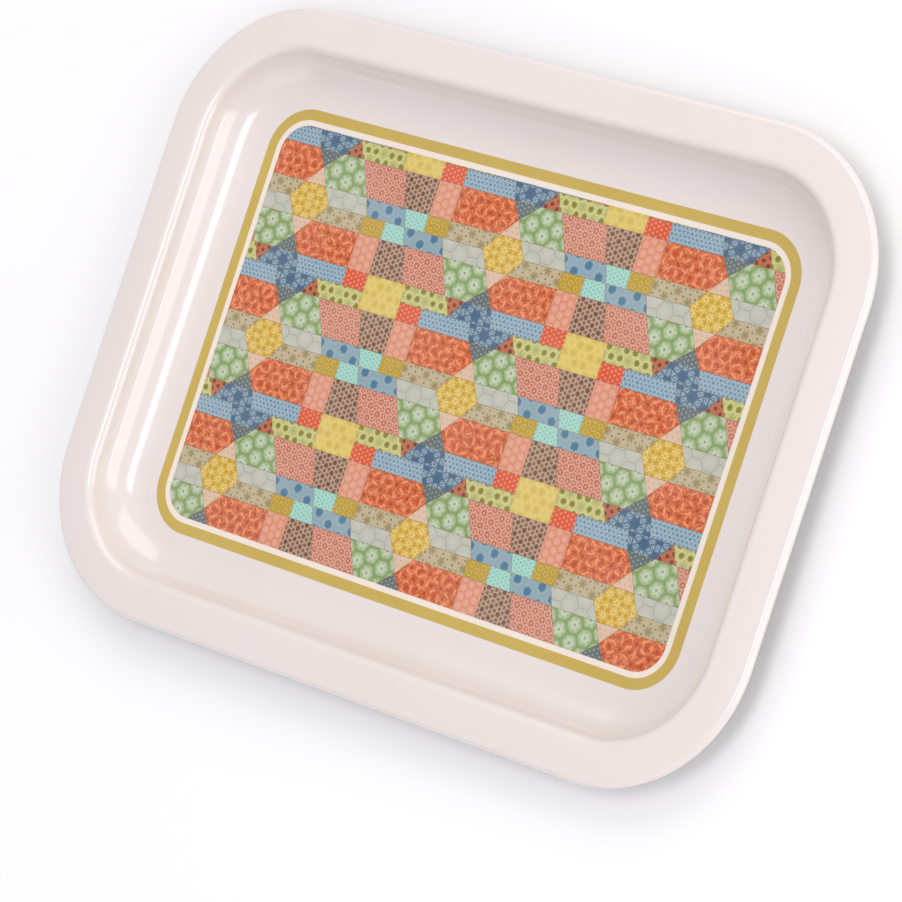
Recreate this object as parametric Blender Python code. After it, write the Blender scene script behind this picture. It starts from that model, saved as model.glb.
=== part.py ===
"""Rectangular serving tray pressed from lacquered tinplate, with a printed patchwork panel.

Metres, +Z up. The origin is on the surface that the tray stands on, under the middle of its floor.
X runs along the tray's length and Y across it.
"""

import math

import bmesh
import bpy

# The tray in plan, measured over the curled edge
TRAY_LENGTH = 0.332
TRAY_WIDTH = 0.250
TRAY_CORNER_RADIUS = 0.058

# The pressed sheet
SHEET_THICKNESS = 0.0004
FLANGE_RISE = 0.0162
FLANGE_WIDTH = 0.0142
FLANGE_FALL_DEG = 4.0
CREASE_RADIUS = 0.0034
WALL_STEEPEST_DEG = 80.0
CURL_RADIUS = 0.0021
CURL_TURN_DEG = 235.0

# The printed panel on the floor
BORDER_LENGTH = 0.255
BORDER_WIDTH = 0.1748
BORDER_CORNER_RADIUS = 0.0187
BORDER_BAND = 0.0043
WHITE_MARGIN = 0.0023
PRINT_THICKNESS = 0.0002
LAYER_GAP = 0.0003

# How finely the curves are divided
CORNER_STEPS = 10
WALL_STEPS = 8
CREASE_STEPS = 4
CURL_STEPS = 10


def clear_scene():
    for item in list(bpy.data.objects):
        bpy.data.objects.remove(item, do_unlink=True)


def make_material(name, colour, roughness, metallic):
    material = bpy.data.materials.new(name)
    material.use_nodes = True
    shader = material.node_tree.nodes["Principled BSDF"]
    shader.inputs["Base Color"].default_value = (*colour, 1.0)
    shader.inputs["Roughness"].default_value = roughness
    shader.inputs["Metallic"].default_value = metallic
    return material


def rounded_rectangle(length, width, radius):
    """The (x, y) points of a rounded rectangle about the origin, anticlockwise."""
    points = []
    for quarter, (side_x, side_y) in enumerate(((1, 1), (-1, 1), (-1, -1), (1, -1))):
        centre_x = side_x * (length / 2 - radius)
        centre_y = side_y * (width / 2 - radius)
        for step in range(CORNER_STEPS + 1):
            angle = math.radians(90 * (quarter + step / CORNER_STEPS))
            points.append((centre_x + radius * math.cos(angle), centre_y + radius * math.sin(angle)))
    return points


def tray_outline(inset):
    """The tray's plan outline, moved in from its outer edge by inset."""
    return rounded_rectangle(TRAY_LENGTH - 2 * inset, TRAY_WIDTH - 2 * inset, TRAY_CORNER_RADIUS - inset)


def section_arc(centre, radius, start_deg, end_deg, steps):
    """Points (inset, height) on an arc of the section; 0 degrees points out and 90 degrees points up."""
    points = []
    for step in range(steps + 1):
        angle = math.radians(start_deg + (end_deg - start_deg) * step / steps)
        points.append((centre[0] - radius * math.cos(angle), centre[1] + radius * math.sin(angle)))
    return points


def sheet_section():
    """The middle line of the sheet as (inset, height), from the flat floor out to the end of the curl."""
    floor_height = SHEET_THICKNESS / 2
    slope = math.radians(WALL_STEEPEST_DEG)
    both_radii = FLANGE_RISE / (1 - math.cos(slope))
    wall_radius = both_radii - CREASE_RADIUS
    foot_inset = FLANGE_WIDTH + both_radii * math.sin(slope)
    flat_edge = (foot_inset + 0.003, floor_height)
    wall = section_arc(
        (foot_inset, floor_height + wall_radius), wall_radius, -90, WALL_STEEPEST_DEG - 90, WALL_STEPS
    )
    flange_deg = 90 - FLANGE_FALL_DEG
    crease_centre = (FLANGE_WIDTH, floor_height + FLANGE_RISE - CREASE_RADIUS)
    crease = section_arc(crease_centre, CREASE_RADIUS, 90 + WALL_STEEPEST_DEG, flange_deg, CREASE_STEPS)
    curl_middle_radius = CURL_RADIUS - SHEET_THICKNESS / 2
    curl_start_inset = CURL_RADIUS - curl_middle_radius * math.cos(math.radians(flange_deg))
    flange_start_inset, flange_start_height = crease[-1]
    fall = (flange_start_inset - curl_start_inset) * math.tan(math.radians(FLANGE_FALL_DEG))
    curl_centre = (
        CURL_RADIUS,
        flange_start_height - fall - curl_middle_radius * math.sin(math.radians(flange_deg)),
    )
    curl = section_arc(curl_centre, curl_middle_radius, flange_deg, flange_deg - CURL_TURN_DEG, CURL_STEPS)
    return [flat_edge] + wall + crease[1:] + curl


def mesh_object(name, mesh_data, material):
    mesh = bpy.data.meshes.new(name)
    bmesh.ops.recalc_face_normals(mesh_data, faces=mesh_data.faces)
    mesh_data.to_mesh(mesh)
    mesh_data.free()
    mesh.materials.append(material)
    item = bpy.data.objects.new(name, mesh)
    bpy.context.scene.collection.objects.link(item)
    return item


def add_ring(mesh_data, outline, height):
    return [mesh_data.verts.new((x, y, height)) for x, y in outline]


def join_rings(mesh_data, inner, outer):
    for index in range(len(inner)):
        following = (index + 1) % len(inner)
        mesh_data.faces.new((inner[index], outer[index], outer[following], inner[following]))


def make_tray_body():
    """One sheet: flat floor, hollow-curved wall, flange that falls slightly outwards, and an edge curled under."""
    sheet = bmesh.new()
    rings = [add_ring(sheet, tray_outline(inset), height) for inset, height in sheet_section()]
    sheet.faces.new(rings[0])
    for inner, outer in zip(rings, rings[1:]):
        join_rings(sheet, inner, outer)
    body = mesh_object("tray_body", sheet, make_material("cream_lacquer", (0.83, 0.79, 0.76), 0.18, 0.0))
    thicken = body.modifiers.new("sheet_thickness", "SOLIDIFY")
    thicken.thickness = SHEET_THICKNESS
    thicken.offset = 0.0
    thicken.use_even_offset = True
    body.data.shade_smooth()
    body.data.set_sharp_from_angle(angle=math.radians(40))
    return body


def panel_outline(inset):
    """The printed panel's outline, moved in from the gold line's outer edge by inset."""
    return rounded_rectangle(
        BORDER_LENGTH - 2 * inset, BORDER_WIDTH - 2 * inset, BORDER_CORNER_RADIUS - inset
    )


def extrude_up(mesh_data, thickness):
    grown = bmesh.ops.extrude_face_region(mesh_data, geom=mesh_data.faces[:])
    moved = [item for item in grown["geom"] if isinstance(item, bmesh.types.BMVert)]
    bmesh.ops.translate(mesh_data, verts=moved, vec=(0.0, 0.0, thickness))


def make_print_sheet(name, inset, height, material):
    """A printed layer that fills its outline."""
    layer = bmesh.new()
    layer.faces.new(add_ring(layer, panel_outline(inset), height))
    extrude_up(layer, PRINT_THICKNESS)
    return mesh_object(name, layer, material)


def make_print_line(name, band, height, material):
    """A printed line of width band that follows the panel's outer edge."""
    layer = bmesh.new()
    outer = add_ring(layer, panel_outline(0.0), height)
    inner = add_ring(layer, panel_outline(band), height)
    join_rings(layer, inner, outer)
    extrude_up(layer, PRINT_THICKNESS)
    return mesh_object(name, layer, material)


def main():
    clear_scene()
    underprint_height = SHEET_THICKNESS + LAYER_GAP
    ink_height = underprint_height + PRINT_THICKNESS + LAYER_GAP
    make_tray_body()
    make_print_sheet(
        "white_underprint", 0.0, underprint_height, make_material("white_ink", (0.90, 0.90, 0.88), 0.25, 0.0)
    )
    make_print_line(
        "gold_border_line", BORDER_BAND, ink_height, make_material("gold_ink", (0.60, 0.44, 0.10), 0.30, 0.0)
    )
    make_print_sheet(
        "patchwork_print",
        BORDER_BAND + WHITE_MARGIN,
        ink_height,
        make_material("patchwork_ink", (0.70, 0.38, 0.24), 0.35, 0.0),
    )


main()
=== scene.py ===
"""The looks of the printed serving tray: lacquered pressing, printed patchwork panel, camera and light.

Metres, in the CAD model's frame: X along the tray, Y across it, +Z up out of the open side.
"""

import math

import bmesh
import bpy
from mathutils import Matrix, Vector

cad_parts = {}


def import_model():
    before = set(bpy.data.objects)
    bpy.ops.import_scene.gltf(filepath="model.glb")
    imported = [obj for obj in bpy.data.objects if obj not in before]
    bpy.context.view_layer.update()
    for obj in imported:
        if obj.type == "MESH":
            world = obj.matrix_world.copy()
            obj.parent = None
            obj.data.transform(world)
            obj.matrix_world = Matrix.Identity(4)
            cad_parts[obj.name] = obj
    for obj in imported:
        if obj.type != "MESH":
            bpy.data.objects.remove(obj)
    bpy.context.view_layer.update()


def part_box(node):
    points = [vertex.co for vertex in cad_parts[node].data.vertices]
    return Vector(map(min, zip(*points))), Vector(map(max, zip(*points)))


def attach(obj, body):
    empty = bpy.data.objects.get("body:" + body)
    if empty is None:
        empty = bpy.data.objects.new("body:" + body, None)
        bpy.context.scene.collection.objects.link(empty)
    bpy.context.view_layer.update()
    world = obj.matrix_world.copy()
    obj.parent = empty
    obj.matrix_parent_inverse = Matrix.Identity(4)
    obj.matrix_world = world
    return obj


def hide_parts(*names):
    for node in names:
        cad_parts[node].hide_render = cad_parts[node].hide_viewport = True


MM = 0.001

# The pressed sheet's section, as in the CAD model
SHEET_THICKNESS = 0.4 * MM
FLANGE_WIDTH = 14.2 * MM
FLANGE_FALL_DEG = 4.0
TRAY_CORNER_RADIUS = 58 * MM
CREASE_RADIUS = 3.4 * MM
WALL_STEEPEST_DEG = 80.0
CURL_RADIUS = 2.1 * MM
CURL_TURN_DEG = 235.0

# The printed panel
GOLD_BAND = 4.3 * MM
WHITE_MARGIN = 2.3 * MM
BORDER_CORNER_RADIUS = 18.7 * MM
FILM_THICKNESS = 0.02 * MM
SEAM_WIDTH = 0.16 * MM
PRINT_EDGE_SOFTNESS = 0.14 * MM

# Over what length the print's lines wander, and how far
WOBBLE_SIZE = 1.8 * MM
WOBBLE_REACH = 0.18 * MM

# Corners nearer than this are one corner, and a clipped patch smaller than this is left out
SAME_PLACE = 0.002 * MM
SMALLEST_PATCH = 0.2 * MM * MM

# How finely the visible curves are divided
CORNER_STEPS = 40
PATCHWORK_CORNER_STEPS = 16
WALL_STEPS = 36
CREASE_STEPS = 12
CURL_STEPS = 24

# How far in from the wall's foot the two outermost rings of the tray's flat floor lie
FLOOR_RINGS = (6 * MM, 3 * MM)

# Edges of the sheet that bend further than this are shaded as sharp
SHARPEST_SMOOTH_DEG = 40.0

# The print repeats on a grid of 16 columns by 8 rows, about the middle of a yellow hexagon
COLUMN = 6.072 * MM
ROW = 7.056 * MM
REPEAT_COLUMNS = 16
REPEAT_ROWS = 8
PRINT_CENTRE = (-2.1 * MM, -4.2 * MM)
LEFT_COLUMN = -6.45
RIGHT_COLUMN = LEFT_COLUMN + REPEAT_COLUMNS
MEETING_POINT = (0.32, 2.03)

# The camera: the point it looks at, how far and in which direction it stands from there, roll and lens angle
VIEW_TARGET = Vector((3.2 * MM, -24.4 * MM, 0.4 * MM))
VIEW_DISTANCE = 1.5903
VIEW_AZIMUTH_DEG = 88.79
VIEW_ELEVATION_DEG = 54.34
VIEW_ROLL_DEG = -70.90
FIELD_OF_VIEW_DEG = 12.206

# The studio's floor, which stays just clear of the tray's underside, and the even light all round
FLOOR_SIZE = 12.0
FLOOR_GAP = 0.05 * MM
WORLD_COLOUR = (0.95, 0.945, 1.0, 1.0)
WORLD_STRENGTH = 0.68

# What the studio's light makes of a surface: base colour * brightness + veil is what the camera sees
STUDIO_BRIGHTNESS = 1.11
VARNISH_VEIL = 0.03


# ---------------------------------------------------------------- outlines


def rounded_rectangle(length, width, radius, steps=CORNER_STEPS):
    """The (x, y) points of a rounded rectangle about the origin, anticlockwise."""
    points = []
    for quarter, (side_x, side_y) in enumerate(((1, 1), (-1, 1), (-1, -1), (1, -1))):
        centre_x = side_x * (length / 2 - radius)
        centre_y = side_y * (width / 2 - radius)
        for step in range(steps + 1):
            angle = math.radians(90 * (quarter + step / steps))
            points.append((centre_x + radius * math.cos(angle), centre_y + radius * math.sin(angle)))
    return points


def cut_polygon(polygon, start, end, inset=0.0):
    """The part of a convex polygon on the left of the line from start to end, moved left by inset."""
    direction = (end[0] - start[0], end[1] - start[1])
    length = math.hypot(*direction)
    normal = (-direction[1] / length, direction[0] / length)

    def side(point):
        return (point[0] - start[0]) * normal[0] + (point[1] - start[1]) * normal[1] - inset

    kept = []
    for here, following in zip(polygon, polygon[1:] + polygon[:1]):
        side_here, side_following = side(here), side(following)
        if side_here >= 0:
            kept.append(here)
        if (side_here >= 0) != (side_following >= 0):
            share = side_here / (side_here - side_following)
            kept.append(tuple(a + (b - a) * share for a, b in zip(here, following)))
    return kept


def sides_of(polygon):
    return list(zip(polygon, polygon[1:] + polygon[:1]))


def polygon_area(polygon):
    return sum(a[0] * b[1] - b[0] * a[1] for a, b in sides_of(polygon)) / 2


# ---------------------------------------------------------------- meshes


def mesh_object(name, mesh_data, material):
    mesh = bpy.data.meshes.new(name)
    bmesh.ops.recalc_face_normals(mesh_data, faces=mesh_data.faces)
    mesh_data.to_mesh(mesh)
    mesh_data.free()
    mesh.materials.append(material)
    item = bpy.data.objects.new(name, mesh)
    bpy.context.scene.collection.objects.link(item)
    return item


def add_ring(mesh_data, outline, height):
    return [mesh_data.verts.new((x, y, height)) for x, y in outline]


def join_rings(mesh_data, inner, outer):
    for index in range(len(inner)):
        following = (index + 1) % len(inner)
        mesh_data.faces.new((inner[index], outer[index], outer[following], inner[following]))


def add_slab(mesh_data, outline, low, high):
    """A closed flat prism on outline, from low to high."""
    bottom = add_ring(mesh_data, outline, low)
    top = add_ring(mesh_data, outline, high)
    mesh_data.faces.new(bottom)
    mesh_data.faces.new(top)
    join_rings(mesh_data, bottom, top)


# ---------------------------------------------------------------- the tray's body


def section_arc(centre, radius, start_deg, end_deg, steps):
    """Points (inset, height) on an arc of the section; 0 degrees points out and 90 degrees points up."""
    points = []
    for step in range(steps + 1):
        angle = math.radians(start_deg + (end_deg - start_deg) * step / steps)
        points.append((centre[0] - radius * math.cos(angle), centre[1] + radius * math.sin(angle)))
    return points


def sheet_section(flange_rise):
    """The middle line of the sheet as (inset, height), from the flat floor out to the end of the curl."""
    floor_height = SHEET_THICKNESS / 2
    slope = math.radians(WALL_STEEPEST_DEG)
    both_radii = flange_rise / (1 - math.cos(slope))
    wall_radius = both_radii - CREASE_RADIUS
    foot_inset = FLANGE_WIDTH + both_radii * math.sin(slope)
    flat_edges = [(foot_inset + distance, floor_height) for distance in FLOOR_RINGS]
    wall_centre = (foot_inset, floor_height + wall_radius)
    wall = section_arc(wall_centre, wall_radius, -90, WALL_STEEPEST_DEG - 90, WALL_STEPS)
    flange_deg = 90 - FLANGE_FALL_DEG
    crease_centre = (FLANGE_WIDTH, floor_height + flange_rise - CREASE_RADIUS)
    crease = section_arc(crease_centre, CREASE_RADIUS, 90 + WALL_STEEPEST_DEG, flange_deg, CREASE_STEPS)
    curl_middle_radius = CURL_RADIUS - SHEET_THICKNESS / 2
    curl_start_inset = CURL_RADIUS - curl_middle_radius * math.cos(math.radians(flange_deg))
    flange_start_inset, flange_start_height = crease[-1]
    fall = (flange_start_inset - curl_start_inset) * math.tan(math.radians(FLANGE_FALL_DEG))
    curl_centre_height = flange_start_height - fall - curl_middle_radius * math.sin(math.radians(flange_deg))
    curl_centre = (CURL_RADIUS, curl_centre_height)
    curl_end_deg = flange_deg - CURL_TURN_DEG
    curl = section_arc(curl_centre, curl_middle_radius, flange_deg, curl_end_deg, CURL_STEPS)
    return flat_edges + wall + crease[1:] + curl


def make_tray_body(material):
    """The whole pressing as one thick sheet: flat floor, hollow wall, flange and an edge curled under."""
    low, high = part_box("tray_body")
    length, width = high.x - low.x, high.y - low.y
    flange_rise = high.z - SHEET_THICKNESS
    sheet = bmesh.new()
    rings = []
    for inset, height in sheet_section(flange_rise):
        outline = rounded_rectangle(length - 2 * inset, width - 2 * inset, TRAY_CORNER_RADIUS - inset)
        rings.append(add_ring(sheet, outline, height))
    sheet.faces.new(rings[0])
    for inner, outer in zip(rings, rings[1:]):
        join_rings(sheet, inner, outer)
    body = mesh_object("lacquered_tray", sheet, material)
    thicken = body.modifiers.new("sheet_thickness", "SOLIDIFY")
    thicken.thickness = SHEET_THICKNESS
    thicken.offset = 0.0
    thicken.use_even_offset = True
    body.data.shade_smooth()
    body.data.set_sharp_from_angle(angle=math.radians(SHARPEST_SMOOTH_DEG))
    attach(body, "root")
    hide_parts("tray_body")


# ---------------------------------------------------------------- the print's shapes


def panel_outline(inset, steps=CORNER_STEPS):
    """The gold line's outer edge, moved in by inset."""
    low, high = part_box("gold_border_line")
    length, width = high.x - low.x, high.y - low.y
    return rounded_rectangle(length - 2 * inset, width - 2 * inset, BORDER_CORNER_RADIUS - inset, steps)


def make_film(name, outline, level, material, replaced):
    """A printed layer that fills its outline, the level-th film up from the floor."""
    film = bmesh.new()
    bottom = SHEET_THICKNESS + level * FILM_THICKNESS
    add_slab(film, outline, bottom, bottom + FILM_THICKNESS)
    item = mesh_object(name, film, material)
    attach(item, "root")
    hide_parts(replaced)


def make_gold_line(material):
    film = bmesh.new()
    bottom = SHEET_THICKNESS + FILM_THICKNESS
    top = bottom + FILM_THICKNESS
    section = ((0, bottom), (0, top), (GOLD_BAND, top), (GOLD_BAND, bottom))
    rings = [add_ring(film, panel_outline(inset), height) for inset, height in section]
    for first, second in zip(rings, rings[1:] + rings[:1]):
        join_rings(film, first, second)
    item = mesh_object("gold_line", film, material)
    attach(item, "root")
    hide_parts("gold_border_line")


# Each fabric's patch in grid steps (columns right, rows up) from the middle of a yellow hexagon.
# A patch also appears turned half round about that middle, unless it is its own turned copy.
PATCHES = {
    "lemon_rounds": [(6.45, 3), (9.55, 3), (9.55, 5), (6.45, 5)],
    "red_dots": [(-6.45, 3), (-4.65, 3), (-4.65, 4), (-6.45, 4)],
    "sky_lines": [(-4.65, 3), (-0.45, 3), (-0.8, 4), (-4.65, 4)],
    "navy_stars": [(-0.45, 3), (1.65, 3), (2.6, 4), (-0.8, 4)],
    "rust_dots": [(1.65, 3), (3.1, 3), (2.6, 4)],
    "lime_pairs": [(3.1, 3), (6.45, 3), (6.45, 4), (2.6, 4)],
    "pink_cells": [(-6.45, 1), (-4.65, 1), (-4.65, 3), (-6.45, 3)],
    "orange_veins": [(-4.65, 1), (-0.75, 1), MEETING_POINT, (-0.45, 3), (-4.65, 3)],
    "slate_specks": [MEETING_POINT, (1.65, 3), (-0.45, 3)],
    "peach_specks": [(-0.75, 1), (0.95, 1), MEETING_POINT],
    "green_florets": [(0.95, 1), (4.4, 1), (3.25, 3), (1.65, 3), MEETING_POINT],
    "salmon_rings": [(4.4, 1), (7.5, 1), (6.8, 3), (3.25, 3)],
    "brown_dots": [(7.5, 1), (9.55, 1), (9.55, 3), (6.8, 3)],
    "mustard_rings": [(-6.45, 0), (-4.65, 0), (-4.65, 1), (-6.45, 1)],
    "beige_sprigs": [(-4.65, 0), (-1.65, 0), (-0.75, 1), (-4.65, 1)],
    "yellow_net": [(-1.65, 0), (-0.95, -1), (0.75, -1), (1.65, 0), (0.95, 1), (-0.75, 1)],
    "grey_cells": [(1.65, 0), (4.9, 0), (4.4, 1), (0.95, 1)],
    "blue_spots": [(4.9, 0), (8, 0), (7.65, 1), (4.4, 1)],
    "aqua_ticks": [(8, 0), (9.55, 0), (9.55, 1), (7.65, 1)],
}
OWN_TURNED_COPY = ("lemon_rounds", "yellow_net")

# These patches join their turned copy along their longest level side, with no seam
JOINED_TO_ITS_COPY = ("navy_stars",)
SHORTEST_JOINED_SIDE = 3 * COLUMN


def placed_copies(corners, turned_too):
    """A patch's copies in metres over more than the whole panel."""
    copies = []
    for turn in (1, -1) if turned_too else (1,):
        for across in range(-2, 3):
            for up in range(-3, 4):
                copies.append(
                    [
                        (
                            PRINT_CENTRE[0] + COLUMN * (turn * column + across * REPEAT_COLUMNS),
                            PRINT_CENTRE[1] + ROW * (turn * row + up * REPEAT_ROWS),
                        )
                        for column, row in corners
                    ]
                )
    return copies


def has_seam(name, start, end):
    """Whether a patch's side is a seam, and not the place where the patch joins its own copy."""
    is_level = abs(start[1] - end[1]) < SAME_PLACE
    return name not in JOINED_TO_ITS_COPY or not is_level or abs(start[0] - end[0]) <= SHORTEST_JOINED_SIDE


def make_patches(name, corners, clip_outline, material):
    """All of one fabric's patches inside the panel, as one piece."""
    bottom = SHEET_THICKNESS + 2 * FILM_THICKNESS
    film = bmesh.new()
    for copy in placed_copies(corners, name not in OWN_TURNED_COPY):
        patch = copy
        for start, end in sides_of(copy):
            if patch and has_seam(name, start, end):
                patch = cut_polygon(patch, start, end, SEAM_WIDTH / 2)
        for start, end in sides_of(clip_outline):
            if patch:
                patch = cut_polygon(patch, start, end)
        if len(patch) >= 3 and polygon_area(patch) > SMALLEST_PATCH:
            add_slab(film, patch, bottom, bottom + FILM_THICKNESS)
    bmesh.ops.remove_doubles(film, verts=film.verts, dist=SAME_PLACE)
    item = mesh_object(name, film, material)
    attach(item, "root")
    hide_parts("patchwork_print")


# ---------------------------------------------------------------- materials


def linear(colour):
    """A 0-255 display colour as the shader's linear RGBA."""
    channels = []
    for value in colour:
        share = value / 255
        channels.append(share / 12.92 if share <= 0.04045 else ((share + 0.055) / 1.055) ** 2.4)
    return (*channels, 1.0)


def as_seen(colour):
    """The base colour of a varnished surface that looks like a 0-255 display colour in this studio."""
    seen = linear(colour)[:3]
    base = [max((value - VARNISH_VEIL) / STUDIO_BRIGHTNESS, 0.002) for value in seen]
    return (*base, 1.0)


# The Mix node has its own sockets for each kind of value: the factor, the two values and the result
MIX_INPUTS = {"RGBA": (0, 6, 7), "VECTOR": (0, 4, 5)}
MIX_RESULT = {"RGBA": 2, "VECTOR": 1}


class Recipe:
    """One material's node tree. Most methods add nodes and return the socket that holds their result."""

    def __init__(self, name):
        self.material = bpy.data.materials.new(name)
        self.material.use_nodes = True
        self.tree = self.material.node_tree
        self.shader = self.tree.nodes["Principled BSDF"]
        self.position = self.tree.nodes.new("ShaderNodeTexCoord").outputs["Object"]

    def add(self, kind, **settings):
        node = self.tree.nodes.new("ShaderNode" + kind)
        for key, value in settings.items():
            setattr(node, key, value)
        return node

    def feed(self, socket, value):
        if isinstance(value, bpy.types.NodeSocket):
            self.tree.links.new(value, socket)
        else:
            socket.default_value = value

    def math(self, operation, *values, clamp=False):
        node = self.add("Math", operation=operation, use_clamp=clamp)
        for socket, value in zip(node.inputs, values):
            self.feed(socket, value)
        return node.outputs[0]

    def vector(self, operation, *values):
        node = self.add("VectorMath", operation=operation)
        for socket, value in zip(node.inputs, values):
            self.feed(socket, value)
        return node.outputs["Value" if operation in ("LENGTH", "DOT_PRODUCT") else "Vector"]

    def split(self, vector):
        node = self.add("SeparateXYZ")
        self.feed(node.inputs[0], vector)
        return node.outputs

    def join(self, x, y, z=0.0):
        node = self.add("CombineXYZ")
        for socket, value in zip(node.inputs, (x, y, z)):
            self.feed(socket, value)
        return node.outputs[0]

    def remap(self, value, low, high, to_low=0.0, to_high=1.0):
        """value between low and high turned smoothly into to_low to to_high."""
        node = self.add("MapRange", interpolation_type="SMOOTHSTEP", clamp=True)
        for socket, item in zip(node.inputs, (value, low, high, to_low, to_high)):
            self.feed(socket, item)
        return node.outputs[0]

    def below(self, value, limit, soft):
        """1 where value is under limit, 0 where it is over, with an edge of width 2 * soft."""
        return self.remap(value, limit - soft, limit + soft, 1.0, 0.0)

    def mix(self, share, first, second, kind="RGBA"):
        """first where share is 0, second where it is 1."""
        node = self.add("Mix", data_type=kind)
        for index, value in zip(MIX_INPUTS[kind], (share, first, second)):
            self.feed(node.inputs[index], value)
        return node.outputs[MIX_RESULT[kind]]

    def noise_node(self, place, feature_size, detail, roughness):
        node = self.add("TexNoise")
        self.feed(node.inputs["Vector"], place)
        node.inputs["Scale"].default_value = 1 / feature_size
        node.inputs["Detail"].default_value = detail
        node.inputs["Roughness"].default_value = roughness
        return node

    def noise(self, feature_size, detail=3.0, roughness=0.55, stretch=(1.0, 1.0, 1.0)):
        """Noise from 0 to 1 whose largest features are about feature_size across."""
        place = self.vector("MULTIPLY", self.position, stretch)
        return self.noise_node(place, feature_size, detail, roughness).outputs["Fac"]

    def wobbled(self, position, feature_size, reach):
        """position pushed about, rarely by more than reach, as a hand-drawn line wanders."""
        node = self.noise_node(self.position, feature_size, 1.0, 0.5)
        push = self.vector("SUBTRACT", node.outputs["Color"], (0.5, 0.5, 0.5))
        gain = 4 * reach  # the noise seldom strays more than a quarter from its middle value
        return self.vector("MULTIPLY_ADD", push, (gain, gain, 0.0), position)

    def bump(self, height, distance, strength=1.0, under=None):
        node = self.add("Bump")
        node.inputs["Distance"].default_value = distance
        node.inputs["Strength"].default_value = strength
        self.feed(node.inputs["Height"], height)
        if under is not None:
            self.feed(node.inputs["Normal"], under)
        return node.outputs[0]


def lacquer_finish(recipe, roughness, coat, orange_peel):
    """Varnish over lacquer or ink: faint orange peel, hair scratches, and gloss that varies a little."""
    drift = recipe.noise(38 * MM, 2.0)
    fine = recipe.noise(3.2 * MM, 4.0, 0.6)
    scratch_long = recipe.noise(0.5 * MM, 2.0, 0.5, stretch=(0.035, 1.0, 1.0))
    scratch_cross = recipe.noise(0.6 * MM, 2.0, 0.5, stretch=(1.0, 0.05, 1.0))
    long_marks = recipe.remap(scratch_long, 0.70, 0.80)
    cross_marks = recipe.remap(scratch_cross, 0.71, 0.82)
    scratches = recipe.math("MAXIMUM", long_marks, cross_marks)
    wear = recipe.math("MULTIPLY", scratches, 0.07)
    gloss = recipe.math("ADD", recipe.remap(drift, 0.3, 0.7, roughness * 0.85, roughness * 1.2), wear)
    recipe.feed(recipe.shader.inputs["Roughness"], recipe.math("MULTIPLY_ADD", fine, 0.03, gloss))
    peel = recipe.bump(fine, orange_peel)
    recipe.feed(recipe.shader.inputs["Normal"], recipe.bump(scratches, -0.0015 * MM, 0.5, peel))
    recipe.shader.inputs["Coat Weight"].default_value = coat
    recipe.shader.inputs["Coat Roughness"].default_value = 0.05
    recipe.shader.inputs["IOR"].default_value = 1.5


def make_cream_lacquer():
    """Glossy off-white enamel with a slight blush, fine grain, a few specks and a rubbed underside."""
    recipe = Recipe("cream_lacquer_gloss")
    clean = as_seen((235, 226, 222))
    warm = as_seen((233, 223, 217))
    cloud = recipe.remap(recipe.noise(60 * MM, 2.0), 0.35, 0.65)
    colour = recipe.mix(recipe.math("MULTIPLY", cloud, 0.5), clean, warm)
    grain = recipe.remap(recipe.noise(0.8 * MM, 3.0), 0.3, 0.7)
    colour = recipe.mix(recipe.math("MULTIPLY", grain, 0.10), colour, as_seen((225, 216, 211)))
    specks = recipe.remap(recipe.noise(1.1 * MM, 1.0), 0.80, 0.84)
    colour = recipe.mix(recipe.math("MULTIPLY", specks, 0.35), colour, as_seen((205, 192, 180)))
    height = recipe.split(recipe.position)[2]
    under_side = recipe.below(height, 0.1 * MM, 0.1 * MM)
    rubbed = recipe.remap(recipe.noise(5 * MM, 4.0, 0.7), 0.52, 0.72)
    rub_share = recipe.math("MULTIPLY", recipe.math("MULTIPLY", under_side, rubbed), 0.25)
    colour = recipe.mix(rub_share, colour, as_seen((196, 190, 186)))
    recipe.feed(recipe.shader.inputs["Base Color"], colour)
    lacquer_finish(recipe, 0.14, 0.6, 0.006 * MM)
    return recipe.material


def make_plain_ink(name, colour, shade, coat=0.3, roughness=0.26):
    """A flat printed ink: faint screen grain, slow drift in strength, and varnish on top."""
    recipe = Recipe(name)
    drift = recipe.remap(recipe.noise(25 * MM, 3.0), 0.3, 0.7, 0.0, 0.45)
    grain = recipe.remap(recipe.noise(0.35 * MM, 3.0, 0.7), 0.35, 0.75, 0.0, 0.35)
    share = recipe.math("ADD", drift, grain, clamp=True)
    recipe.feed(recipe.shader.inputs["Base Color"], recipe.mix(share, as_seen(colour), as_seen(shade)))
    lacquer_finish(recipe, roughness, coat, 0.004 * MM)
    return recipe.material


def patch_position(recipe):
    """Position in metres inside a patch's own copy, so that each copy of a patch is printed alike."""
    x, y, _ = recipe.split(recipe.vector("SUBTRACT", recipe.position, (*PRINT_CENTRE, 0.0)))
    half_rows = REPEAT_ROWS * ROW / 2
    local_y = recipe.math("WRAP", y, half_rows, -half_rows)
    turn = recipe.math("SIGN", local_y)
    turned_x = recipe.math("MULTIPLY", x, turn)
    local_x = recipe.math("WRAP", turned_x, RIGHT_COLUMN * COLUMN, LEFT_COLUMN * COLUMN)
    return recipe.join(local_x, recipe.math("ABSOLUTE", local_y))


def nearest_of_lattice(recipe, position, pitch, middle):
    """The vector from the nearest point of a triangular lattice; its points stand pitch apart up and down."""
    half_cell = Vector((math.sqrt(3) / 2, 0.5, 0.0)) * pitch
    start = recipe.vector("SUBTRACT", position, (*middle, 0.0))
    limit = (half_cell.x, half_cell.y, 1.0)
    found = []
    for shift in (Vector(), half_cell):
        moved = recipe.vector("SUBTRACT", start, tuple(shift))
        found.append(recipe.vector("WRAP", moved, limit, tuple(-value for value in limit)))
    lengths = [recipe.vector("LENGTH", item) for item in found]
    second_is_nearer = recipe.math("LESS_THAN", lengths[1], lengths[0])
    return recipe.mix(second_is_nearer, found[0], found[1], "VECTOR")


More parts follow.
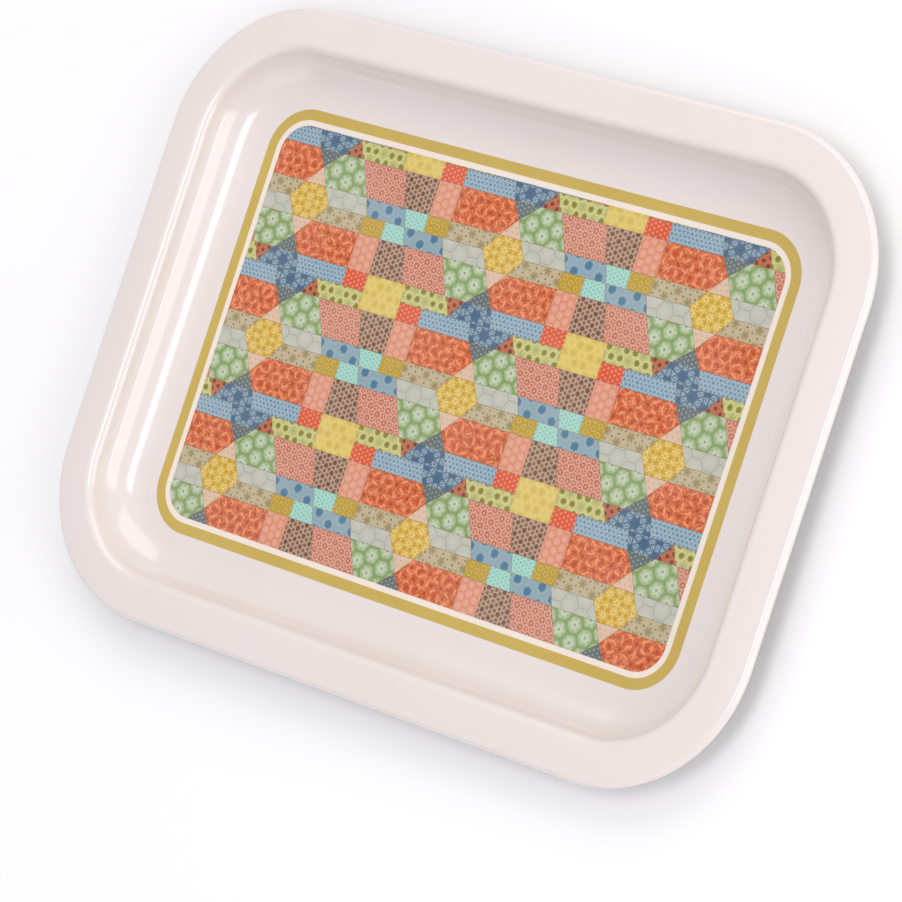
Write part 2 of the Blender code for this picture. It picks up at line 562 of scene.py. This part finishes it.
class Motif:
    """Masks drawn about a repeated point. Their sizes are millimetres."""

    def __init__(self, recipe, offset, pitch):
        self.recipe = recipe
        self.pitch = pitch * MM
        self.soft = PRINT_EDGE_SOFTNESS
        self.offset = offset
        self.along, self.across = recipe.split(offset)[:2]
        self.radius = recipe.vector("LENGTH", offset)
        self.angle = recipe.math("ARCTAN2", self.across, self.along)

    def around(self, distance, turn_deg):
        """The motif about six points at distance from this one; the first stands at turn_deg."""
        recipe = self.recipe
        sixth = math.radians(30)
        turned = recipe.math("SUBTRACT", self.angle, math.radians(turn_deg))
        folded = recipe.math("WRAP", turned, sixth, -sixth)
        outward = recipe.math("MULTIPLY", self.radius, recipe.math("COSINE", folded))
        sideways = recipe.math("MULTIPLY", self.radius, recipe.math("SINE", folded))
        offset = recipe.join(recipe.math("SUBTRACT", outward, distance * MM), sideways)
        return Motif(recipe, offset, self.pitch / MM)

    def dot(self, radius):
        return self.recipe.below(self.radius, radius * MM, self.soft)

    def blurred_dot(self, radius):
        return self.recipe.below(self.radius, radius * MM * 0.6, radius * MM * 0.6)

    def ring(self, radius, width):
        away = self.recipe.math("ABSOLUTE", self.recipe.math("SUBTRACT", self.radius, radius * MM))
        return self.recipe.below(away, width * MM / 2, self.soft)

    def bar(self, length, width):
        """A bar that points away from the motif's middle."""
        recipe = self.recipe
        long_way = recipe.below(recipe.math("ABSOLUTE", self.along), length * MM / 2, self.soft)
        cross_way = recipe.below(recipe.math("ABSOLUTE", self.across), width * MM / 2, self.soft)
        return recipe.math("MULTIPLY", long_way, cross_way)

    def diamond(self, length, width):
        recipe = self.recipe
        long_share = recipe.math("MULTIPLY", recipe.math("ABSOLUTE", self.along), width / length)
        reach = recipe.math("ADD", long_share, recipe.math("ABSOLUTE", self.across))
        return recipe.below(reach, width * MM / 2, self.soft)

    def cell_lines(self, width):
        """The borders of the hexagonal cells round the lattice points."""
        recipe = self.recipe
        reach = None
        for degrees in (30, 90, 150):
            direction = (math.cos(math.radians(degrees)), math.sin(math.radians(degrees)), 0.0)
            along = recipe.math("ABSOLUTE", recipe.vector("DOT_PRODUCT", self.offset, direction))
            reach = along if reach is None else recipe.math("MAXIMUM", reach, along)
        edge = self.pitch / 2 - width * MM / 2
        return recipe.remap(reach, edge - self.soft, edge + self.soft)

    def veins(self, spacing, width_share):
        """Lines that wander and branch, about spacing apart."""
        recipe = self.recipe
        away = recipe.math("ABSOLUTE", recipe.math("SUBTRACT", recipe.noise(spacing * MM, 1.0), 0.5))
        return recipe.below(away, width_share, width_share * 0.5)

    def petals(self, reach, notch, turn_deg):
        """A flower of six petals that reach out to reach and fall back to notch between them."""
        recipe = self.recipe
        turned = recipe.math("SUBTRACT", self.angle, math.radians(turn_deg))
        wave = recipe.math("COSINE", recipe.math("MULTIPLY", turned, 6.0))
        middle, swing = (reach + notch) / 2 * MM, (reach - notch) / 2 * MM
        edge = recipe.math("MULTIPLY_ADD", wave, swing, middle)
        return recipe.below(recipe.math("SUBTRACT", self.radius, edge), 0.0, self.soft)


# Each fabric's ground colour, the lattice of its motif (pitch and one point of it), and its prints from
# the bottom layer up: (mask, sizes, where round the point (distance, turn) or None, colour, strength).
# Sizes are millimetres, apart from the veins' width, which is a share of the noise that draws them.
# CORNERS and MIDDLES are the corners and the side middles of a lattice cell.
CORNERS = "corners"
MIDDLES = "middles"
FABRICS = {
    "orange_veins": (
        (200, 106, 64), 7.6, (-20.5, 14.0), [
            ("blurred_dot", (2.3,), CORNERS, (196, 84, 38), 1.0),
            ("veins", (2.6, 0.045), None, (238, 146, 100), 0.7),
            ("bar", (2.8, 0.8), MIDDLES, (246, 154, 110), 0.85),
            ("petals", (1.5, 0.7, 30), None, (198, 84, 52), 0.9),
            ("dot", (0.6,), None, (178, 66, 40), 0.8),
            ("petals", (1.0, 0.4, 0), CORNERS, (186, 72, 36), 0.8),
        ],
    ),
    "green_florets": (
        (162, 182, 136), 6.95, (14.5, 10.7), [
            ("petals", (2.75, 1.8, 0), None, (188, 203, 170), 0.85),
            ("dot", (1.0,), CORNERS, (132, 160, 98), 0.7),
            ("ring", (1.15, 0.75), None, (204, 214, 194), 0.6),
            ("cell_lines", (0.95,), None, (132, 158, 98), 0.9),
            ("dot", (0.42,), None, (112, 124, 112), 0.8),
        ],
    ),
    "salmon_rings": (
        (188, 116, 94), 4.9, (33.0, 10.5), [
            ("ring", (1.55, 0.55), None, (228, 172, 150), 0.85),
            ("bar", (1.3, 1.7), MIDDLES, (188, 116, 94), 0.9),
            ("bar", (1.5, 0.55), MIDDLES, (232, 176, 154), 0.9),
            ("bar", (1.7, 0.5), CORNERS, (228, 172, 150), 0.85),
            ("dot", (0.45,), None, (232, 176, 154), 0.85),
        ],
    ),
    "brown_dots": (
        (188, 157, 134), 4.3, (44.7, 14.2), [
            ("dot", (0.72,), MIDDLES, (114, 80, 62), 0.85),
            ("dot", (0.98,), None, (104, 70, 52), 0.9),
        ],
    ),
    "pink_cells": (
        (228, 158, 132), 3.6, (-33.5, 16.2), [
            ("cell_lines", (0.5,), None, (200, 130, 104), 0.7),
            ("blurred_dot", (1.3,), None, (234, 172, 144), 0.7),
        ],
    ),
    "red_dots": (
        (218, 92, 62), 1.95, (-33.7, 23.6), [
            ("cell_lines", (0.3,), None, (206, 92, 64), 0.6),
            ("dot", (0.5,), None, (250, 148, 114), 0.8),
        ],
    ),
    "sky_lines": (
        (134, 161, 177), 3.3, (-21.5, 24.4), [
            ("cell_lines", (0.5,), None, (176, 196, 206), 0.85),
            ("ring", (0.95, 0.4), None, (180, 200, 210), 0.7),
            ("dot", (0.45,), None, (96, 130, 154), 0.9),
            ("dot", (0.5,), CORNERS, (104, 136, 158), 0.85),
        ],
    ),
    "navy_stars": (
        (88, 116, 136), 7.2, (3.3, 25.1), [
            ("diamond", (2.1, 2.2), MIDDLES, (166, 186, 196), 0.85),
            ("dot", (0.4,), MIDDLES, (76, 104, 132), 0.9),
            ("bar", (1.9, 0.65), CORNERS, (168, 186, 196), 0.8),
            ("ring", (2.6, 0.45), None, (150, 174, 188), 0.75),
            ("petals", (2.9, 1.0, 0), None, (74, 104, 134), 1.0),
        ],
    ),
    "rust_dots": (
        (180, 106, 70), 3.05, (14.4, 23.5), [
            ("ring", (1.2, 0.3), None, (210, 134, 98), 0.6),
            ("dot", (0.85,), None, (130, 62, 34), 0.95),
        ],
    ),
    "lime_pairs": (
        (198, 192, 124), 6.87, (28.1, 25.3), [
            ("petals", (1.9, 1.2, 30), None, (178, 184, 118), 0.85),
            ("dot", (0.35,), None, (148, 152, 84), 0.9),
            ("ring", (1.7, 0.4), CORNERS, (216, 212, 150), 0.7),
            ("dot", (1.25,), CORNERS, (138, 140, 56), 0.95),
            ("dot", (0.5,), CORNERS, (116, 118, 44), 0.8),
        ],
    ),
    "lemon_rounds": (
        (222, 197, 108), 7.0, (48.58, 28.22), [
            ("blurred_dot", (1.9,), CORNERS, (206, 176, 84), 0.8),
            ("ring", (1.7, 0.5), None, (232, 212, 132), 0.7),
            ("bar", (2.0, 0.45), MIDDLES, (232, 212, 132), 0.6),
        ],
    ),
    "beige_sprigs": (
        (193, 180, 146), 6.2, (-16.7, 4.5), [
            ("blurred_dot", (2.0,), None, (154, 136, 88), 0.75),
            ("petals", (2.1, 0.7, 0), None, (150, 130, 84), 0.55),
            ("dot", (0.45,), MIDDLES, (132, 112, 88), 0.9),
        ],
    ),
    "mustard_rings": (
        (182, 152, 58), 3.3, (-33.6, 3.4), [
            ("ring", (0.95, 0.45), None, (212, 184, 90), 0.85),
            ("dot", (0.35,), CORNERS, (202, 160, 66), 0.8),
        ],
    ),
    "yellow_net": (
        (210, 172, 64), 4.7, (0.0, 1.75), [
            ("blurred_dot", (1.3,), CORNERS, (196, 152, 48), 0.8),
            ("petals", (1.85, 0.8, 0), None, (234, 210, 132), 0.85),
            ("dot", (0.45,), None, (204, 162, 60), 0.9),
            ("bar", (1.5, 0.4), MIDDLES, (234, 210, 132), 0.7),
        ],
    ),
    "grey_cells": (
        (194, 195, 181), 7.05, (19.4, 4.3), [
            ("blurred_dot", (1.5,), None, (202, 202, 194), 0.7),
            ("ring", (2.7, 0.3), None, (180, 184, 170), 0.6),
            ("cell_lines", (0.5,), None, (164, 168, 154), 0.85),
        ],
    ),
    "blue_spots": (
        (145, 170, 178), 6.7, (39.0, 4.75), [
            ("cell_lines", (0.4,), None, (134, 160, 174), 0.5),
            ("ring", (2.3, 0.5), None, (160, 182, 192), 0.7),
            ("blurred_dot", (2.6,), None, (92, 138, 162), 0.7),
            ("petals", (1.75, 1.5, 30), None, (72, 120, 150), 0.9),
        ],
    ),
    "aqua_ticks": (
        (168, 214, 200), 1.75, (51.3, 4.6), [
            ("dot", (0.36,), None, (108, 184, 166), 0.95),
        ],
    ),
    "peach_specks": (
        (224, 192, 166), 4.4, (0.9, 9.0), [
            ("blurred_dot", (1.0,), CORNERS, (204, 168, 142), 0.7),
            ("dot", (0.35,), None, (186, 146, 120), 0.7),
        ],
    ),
    "slate_specks": (
        (104, 118, 118), 1.9, (3.0, 19.0), [
            ("dot", (0.4,), None, (158, 162, 154), 0.8),
            ("cell_lines", (0.25,), None, (84, 98, 100), 0.6),
        ],
    ),
}


def make_fabric_print(name):
    """One fabric's printed picture: its ground, its motif's layers, ink grain and varnish."""
    ground, pitch, point, layers = FABRICS[name]
    recipe = Recipe(name)
    position = recipe.wobbled(patch_position(recipe), WOBBLE_SIZE, WOBBLE_REACH)
    offset = nearest_of_lattice(recipe, position, pitch * MM, [value * MM for value in point])
    middle = Motif(recipe, offset, pitch)
    places = {None: middle}
    colour = as_seen(ground)
    for mask, sizes, place, ink, strength in layers:
        if place == CORNERS and CORNERS not in places:
            places[CORNERS] = middle.around(pitch / math.sqrt(3), 0)
        if place == MIDDLES and MIDDLES not in places:
            places[MIDDLES] = middle.around(pitch / 2, 30)
        share = recipe.math("MULTIPLY", getattr(places[place], mask)(*sizes), strength)
        colour = recipe.mix(share, colour, as_seen(ink))
    grain = recipe.remap(recipe.noise(0.4 * MM, 3.0, 0.7), 0.35, 0.75, 0.0, 0.10)
    drift = recipe.remap(recipe.noise(30 * MM, 2.0), 0.35, 0.65, 0.0, 0.05)
    colour = recipe.mix(grain, colour, as_seen((120, 100, 90)))
    colour = recipe.mix(drift, colour, as_seen((240, 230, 215)))
    recipe.feed(recipe.shader.inputs["Base Color"], colour)
    lacquer_finish(recipe, 0.30, 0.2, 0.004 * MM)
    return recipe.material


# ---------------------------------------------------------------- camera, light and floor


def make_camera():
    azimuth = math.radians(VIEW_AZIMUTH_DEG)
    elevation = math.radians(VIEW_ELEVATION_DEG)
    towards_camera = Vector((
        math.sin(azimuth) * math.cos(elevation),
        -math.cos(azimuth) * math.cos(elevation),
        math.sin(elevation),
    ))
    turn = towards_camera.to_track_quat("Z", "Y").to_matrix().to_4x4()
    roll = Matrix.Rotation(math.radians(VIEW_ROLL_DEG), 4, "Z")
    data = bpy.data.cameras.new("photo_view")
    data.sensor_width = 36.0
    data.lens_unit = "FOV"
    data.angle = math.radians(FIELD_OF_VIEW_DEG)
    data.clip_start = 0.05
    data.clip_end = 50.0
    camera = bpy.data.objects.new("photo_view", data)
    place = Matrix.Translation(VIEW_TARGET + towards_camera * VIEW_DISTANCE)
    camera.matrix_world = place @ turn @ roll
    bpy.context.scene.collection.objects.link(camera)
    bpy.context.scene.camera = camera


def make_softbox(name, azimuth_deg, tilt_deg, distance, width, height, power, colour):
    """A rectangular soft light aimed at the tray; tilt is from straight up, azimuth from +X towards +Y."""
    data = bpy.data.lights.new(name, "AREA")
    data.shape = "RECTANGLE"
    data.size = width
    data.size_y = height
    data.energy = power
    data.color = colour
    light = bpy.data.objects.new(name, data)
    azimuth, tilt = math.radians(azimuth_deg), math.radians(tilt_deg)
    direction = Vector((
        math.sin(tilt) * math.cos(azimuth),
        math.sin(tilt) * math.sin(azimuth),
        math.cos(tilt),
    ))
    turn = direction.to_track_quat("Z", "Y").to_matrix().to_4x4()
    light.matrix_world = Matrix.Translation(direction * distance) @ turn
    bpy.context.scene.collection.objects.link(light)


def make_world():
    """An even, faintly blue light from all round, which fills the shadows."""
    world = bpy.data.worlds.new("studio")
    world.use_nodes = True
    background = world.node_tree.nodes["Background"]
    background.inputs["Color"].default_value = WORLD_COLOUR
    background.inputs["Strength"].default_value = WORLD_STRENGTH
    bpy.context.scene.world = world


def make_floor():
    """A plain pale matt floor."""
    recipe = Recipe("studio_floor")
    cloud = recipe.remap(recipe.noise(0.4, 2.0), 0.3, 0.7)
    pale = recipe.mix(cloud, (0.825, 0.825, 0.83, 1.0), (0.84, 0.84, 0.84, 1.0))
    recipe.feed(recipe.shader.inputs["Base Color"], pale)
    recipe.shader.inputs["Roughness"].default_value = 0.9
    recipe.shader.inputs["Specular IOR Level"].default_value = 0.2
    recipe.shader.inputs["Emission Color"].default_value = (1.0, 1.0, 1.0, 1.0)
    recipe.shader.inputs["Emission Strength"].default_value = 0.03
    sheet = bmesh.new()
    corners = rounded_rectangle(FLOOR_SIZE, FLOOR_SIZE, FLOOR_SIZE / 4)
    sheet.faces.new(add_ring(sheet, corners, -FLOOR_GAP))
    mesh_object("studio_floor", sheet, recipe.material)


# Each soft light: azimuth in degrees from +X towards +Y, tilt from straight up, distance, (width, height),
# power in watts and colour
SOFTBOXES = {
    "overhead_softbox": (0.0, 12.0, 1.5, (0.8, 0.50), 5.4, (1.0, 1.0, 1.0)),
    "right_softbox": (4.0, 70.0, 2.3, (2.2, 1.4), 20.0, (1.0, 0.99, 0.99)),
    "right_strip": (0.0, 87.2, 2.0, (1.4, 0.18), 2.8, (1.0, 1.0, 1.0)),
    "far_softbox": (97.0, 51.0, 2.2, (2.2, 1.5), 17.0, (1.0, 0.95, 0.87)),
    "near_fill": (265.0, 62.0, 2.2, (2.0, 1.5), 6.0, (0.98, 0.97, 1.0)),
}


def make_studio():
    make_world()
    make_floor()
    for name, (azimuth_deg, tilt_deg, distance, size, power, colour) in SOFTBOXES.items():
        make_softbox(name, azimuth_deg, tilt_deg, distance, *size, power, colour)


def main():
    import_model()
    bpy.context.scene.view_settings.view_transform = "Standard"
    make_camera()
    make_studio()
    make_tray_body(make_cream_lacquer())
    white_ink = make_plain_ink("white_ink_gloss", (243, 231, 220), (239, 226, 213), 0.35, 0.2)
    make_film("white_print", panel_outline(0.0), 0, white_ink, "white_underprint")
    make_gold_line(make_plain_ink("gold_ink_gloss", (205, 179, 98), (196, 168, 86)))
    patchwork_outline = panel_outline(GOLD_BAND + WHITE_MARGIN, PATCHWORK_CORNER_STEPS)
    seam_ink = make_plain_ink("seam_ink", (152, 130, 108), (130, 112, 96))
    make_film("patch_seams", patchwork_outline, 1, seam_ink, "patchwork_print")
    for name, corners in PATCHES.items():
        make_patches(name, corners, patchwork_outline, make_fabric_print(name))


main()
